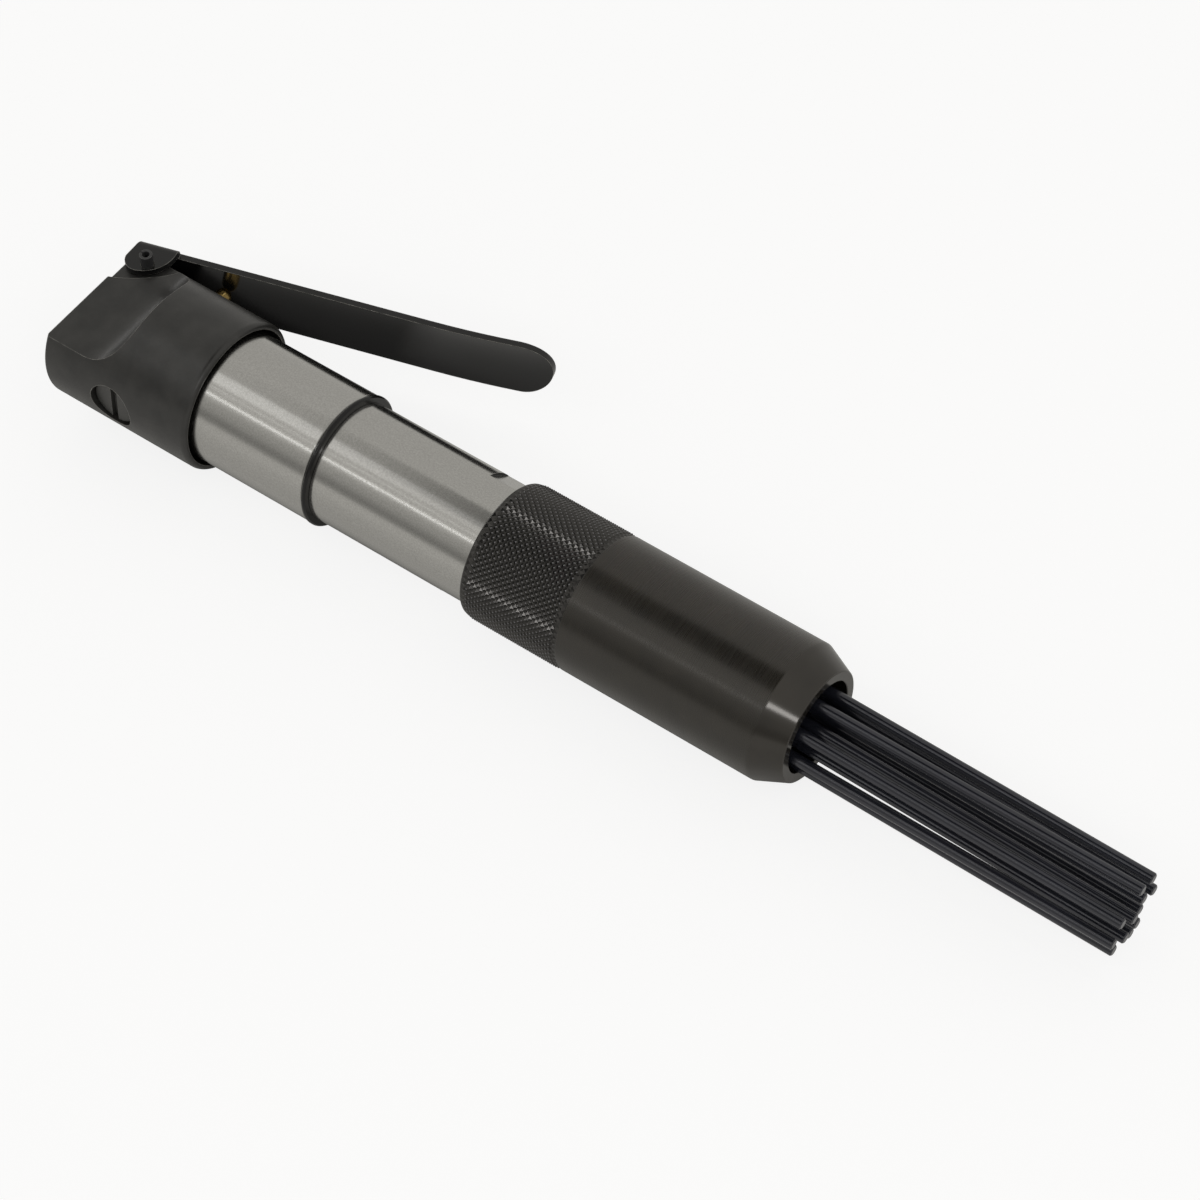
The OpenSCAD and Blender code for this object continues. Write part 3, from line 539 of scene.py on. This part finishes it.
def nose_tube():
    """The tube as a closed run of rings, from its chamber round the rear end to its mouth."""
    count = 2 * KNURL_AROUND
    start = KNURL_START + KNURL_CHAMFER
    rows = round((KNURL_END - start) / (KNURL_PITCH / 2))
    step = (KNURL_END - start) / rows
    rings = [(x, [r] * count, None) for x, r in rear_outline()]
    rings += [(start + row * step, knurl_radii(row, rows, count), row) for row in range(rows)]
    rings += [(KNURL_END, knurl_radii(rows, rows, count), None)]
    rings += [(x, [r] * count, None) for x, r in front_outline()]
    points, faces = [], []
    for index, (x, radii, row) in enumerate(rings):
        following = (index + 1) % len(rings)
        points += ring(x, radii)
        faces += join_rings(index * count, following * count, count, row)
    return add_mesh("nose_tube_knurled", points, faces)


def shortening_spring(frame, name, joint, axis, fixed):
    """Puts a copy in the place of a spring's rigid solid."""
    spring = bpy.data.objects.new(name + "_coil", frame["nodes"][name].data.copy())
    bpy.context.scene.collection.objects.link(spring)
    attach(spring, "tool")
    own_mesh(spring)
    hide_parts(name)


# Stage: floor, lights and camera


def floor_height(x):
    """How high the sloping floor is at a place along the axis."""
    slope = (NOSE_CONTACT[1] - HEAD_CONTACT[1]) / (NOSE_CONTACT[0] - HEAD_CONTACT[0])
    return HEAD_CONTACT[1] + slope * (x - HEAD_CONTACT[0])


def box_distance(tree, place, centre, half):
    """How far a place is from a box with the given centre and half sizes."""
    steps = (("SUBTRACT", centre), ("ABSOLUTE", None), ("SUBTRACT", half), ("MAXIMUM", (0, 0, 0)))
    for operation, vector in steps:
        inputs = {0: place}
        if vector:
            inputs[1] = [v * MM for v in vector]
        place = add_node(tree, "ShaderNodeVectorMath", inputs, operation=operation).outputs["Vector"]
    return add_node(tree, "ShaderNodeVectorMath", {0: place}, operation="LENGTH").outputs["Value"]


def tool_distance(tree):
    """How far a point of the floor is from the tool or its lever, in millimetres."""
    place = add_node(tree, "ShaderNodeTexCoord").outputs["Object"]
    tool = box_distance(tree, place, *TOOL_SHADE_FOOTPRINT)
    lever = box_distance(tree, place, *LEVER_SHADE_FOOTPRINT)
    return maths(tree, "DIVIDE", maths(tree, "MINIMUM", tool, lever), MM)


def seen_and_mirrored(tree, mirrored, seen, surface):
    """One look for the camera and another for the tool's reflections."""
    camera_ray = add_node(tree, "ShaderNodeLightPath").outputs["Is Camera Ray"]
    mix = add_node(tree, "ShaderNodeMixShader", {"Fac": camera_ray, 1: mirrored, 2: seen})
    tree.links.new(mix.outputs["Shader"], surface)


def white_floor():
    """The camera sees white paper with a faint shadow; the tool mirrors it as a glowing grey, with painted
    shade that makes it darker close by.
    """
    half = FLOOR_SIZE / 2
    corners = ((-half, -half), (half, -half), (half, half), (-half, half))
    floor = add_mesh("floor", [(x, y, floor_height(x)) for x, y in corners], [(0, 1, 2, 3)])
    material, tree, shader = new_material("white_floor")
    shader.inputs["Base Color"].default_value = (PAPER_DIFFUSE, PAPER_DIFFUSE, PAPER_DIFFUSE, 1)
    shader.inputs["Roughness"].default_value = MATT_ROUGH
    shader.inputs["Specular IOR Level"].default_value = 0
    glow = add_node(tree, "ShaderNodeEmission", {"Color": (*WHITE, 1), "Strength": PAPER_GLOW})
    paper = add_node(tree, "ShaderNodeAddShader", {0: shader.outputs["BSDF"], 1: glow.outputs["Emission"]})
    # Painted shade: the mirrored grey darkens near the tool and its lever
    level = level_ramp(tree, tool_distance(tree), FLOOR_SHADE_LEVELS)
    grey = add_node(tree, "ShaderNodeEmission", {"Color": (*STUDIO_TINT, 1), "Strength": level})
    output = tree.nodes["Material Output"].inputs["Surface"]
    seen_and_mirrored(tree, grey.outputs["Emission"], paper.outputs["Shader"], output)
    floor.data.materials.append(material)


def area_light(name, size, level, matrix):
    """A flat panel of light; size is its width and height, and level the brightness of its face."""
    data = bpy.data.lights.new(name, "AREA")
    data.shape = "RECTANGLE"
    data.size, data.size_y = [side * MM for side in size]
    data.energy = level * math.pi * data.size * data.size_y
    light = bpy.data.objects.new(name, data)
    light.matrix_world = matrix
    bpy.context.scene.collection.objects.link(light)


def strip_light(name, x, length, start, stop, level):
    """A panel along the tool's axis that fills the studio's arc from one angle to another."""
    middle = math.radians((start + stop) / 2)
    width = 2 * STUDIO_R * math.tan(math.radians((stop - start) / 2))
    along = Vector((1, 0, 0))
    back = Vector((0, math.cos(middle), math.sin(middle)))
    turn = Matrix((along, back.cross(along), back)).transposed()
    place = (x * along + STUDIO_R * back) * MM
    area_light(name, (length, width), level, Matrix.Translation(place) @ turn.to_4x4())


def rear_window():
    """A window that lights the faces that turn to the rear."""
    place = Vector(WINDOW_PLACE) * MM
    turn = place.to_track_quat("Z", "Y").to_matrix()
    area_light("rear_window", WINDOW_SIZE, WINDOW_LEVEL, Matrix.Translation(place) @ turn.to_4x4())


def lights():
    """The strips on the studio's arc and the window."""
    for name, strip in STRIPS.items():
        strip_light(name, **strip)
    rear_window()


def dark_card():
    """A black card overhead that keeps the upper part of the nose tube dark."""
    corners = (
        (CARD_REAR, CARD_NEAR), (CARD_FRONT, CARD_NEAR), (CARD_FRONT, CARD_FAR), (CARD_REAR, CARD_FAR),
    )
    card = add_mesh("dark_card", [(x, y, CARD_HEIGHT) for x, y in corners], [(0, 1, 2, 3)])
    material, _, shader = new_material("black_card")
    shader.inputs["Base Color"].default_value = (CARD_BLACK, CARD_BLACK, CARD_BLACK, 1)
    shader.inputs["Roughness"].default_value = MATT_ROUGH
    card.data.materials.append(material)
    card.visible_camera = False
    card.visible_shadow = False


def world():
    """A grey studio whose level changes with the angle round the axis, and white where the camera looks."""
    studio = bpy.data.worlds.new("studio")
    studio.use_nodes = True
    tree = studio.node_tree
    direction = add_node(tree, "ShaderNodeTexCoord").outputs["Generated"]
    parts = add_node(tree, "ShaderNodeSeparateXYZ", {"Vector": direction}).outputs
    angle = maths(tree, "DEGREES", maths(tree, "ARCTAN2", parts["Z"], parts["Y"]))
    grey = tree.nodes["Background"]
    grey.inputs["Color"].default_value = (*STUDIO_TINT, 1)
    tree.links.new(level_ramp(tree, angle, STUDIO_LEVELS), grey.inputs["Strength"])
    plain = add_node(tree, "ShaderNodeBackground", {"Color": (PAPER_WHITE, PAPER_WHITE, PAPER_WHITE, 1)})
    output = tree.nodes["World Output"].inputs["Surface"]
    seen_and_mirrored(tree, grey.outputs["Background"], plain.outputs["Background"], output)
    bpy.context.scene.world = studio


def camera():
    """The photo's camera."""
    data = bpy.data.cameras.new("photo_camera")
    data.lens = LENS
    data.sensor_width = SENSOR
    data.clip_start = CLIP_NEAR * MM
    data.clip_end = CLIP_FAR * MM
    right = Vector(CAMERA_RIGHT).normalized()
    up = Vector(CAMERA_UP).normalized()
    turn = Matrix((right, up, right.cross(up))).transposed()
    obj = bpy.data.objects.new("photo_camera", data)
    obj.matrix_world = Matrix.Translation(Vector(CAMERA_PLACE) * MM) @ turn.to_4x4()
    bpy.context.scene.collection.objects.link(obj)
    bpy.context.scene.camera = obj


def main():
    """Dresses the CAD's pieces, adds those that are remade here, and sets the stage."""
    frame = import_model()
    finishes = all_finishes()
    finish_frame(frame, finishes)
    tube = nose_tube()
    tube.data.materials.append(finishes["oxide_tube"])
    smooth_by_angle(tube, TUBE_SMOOTH_ANGLE)
    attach(tube, "tool")
    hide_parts("nose_tube")
    for name, motion in SPRINGS.items():
        shortening_spring(frame, name, *motion)
    white_floor()
    lights()
    dark_card()
    world()
    camera()
    bpy.context.scene.view_settings.view_transform = "Standard"


main()
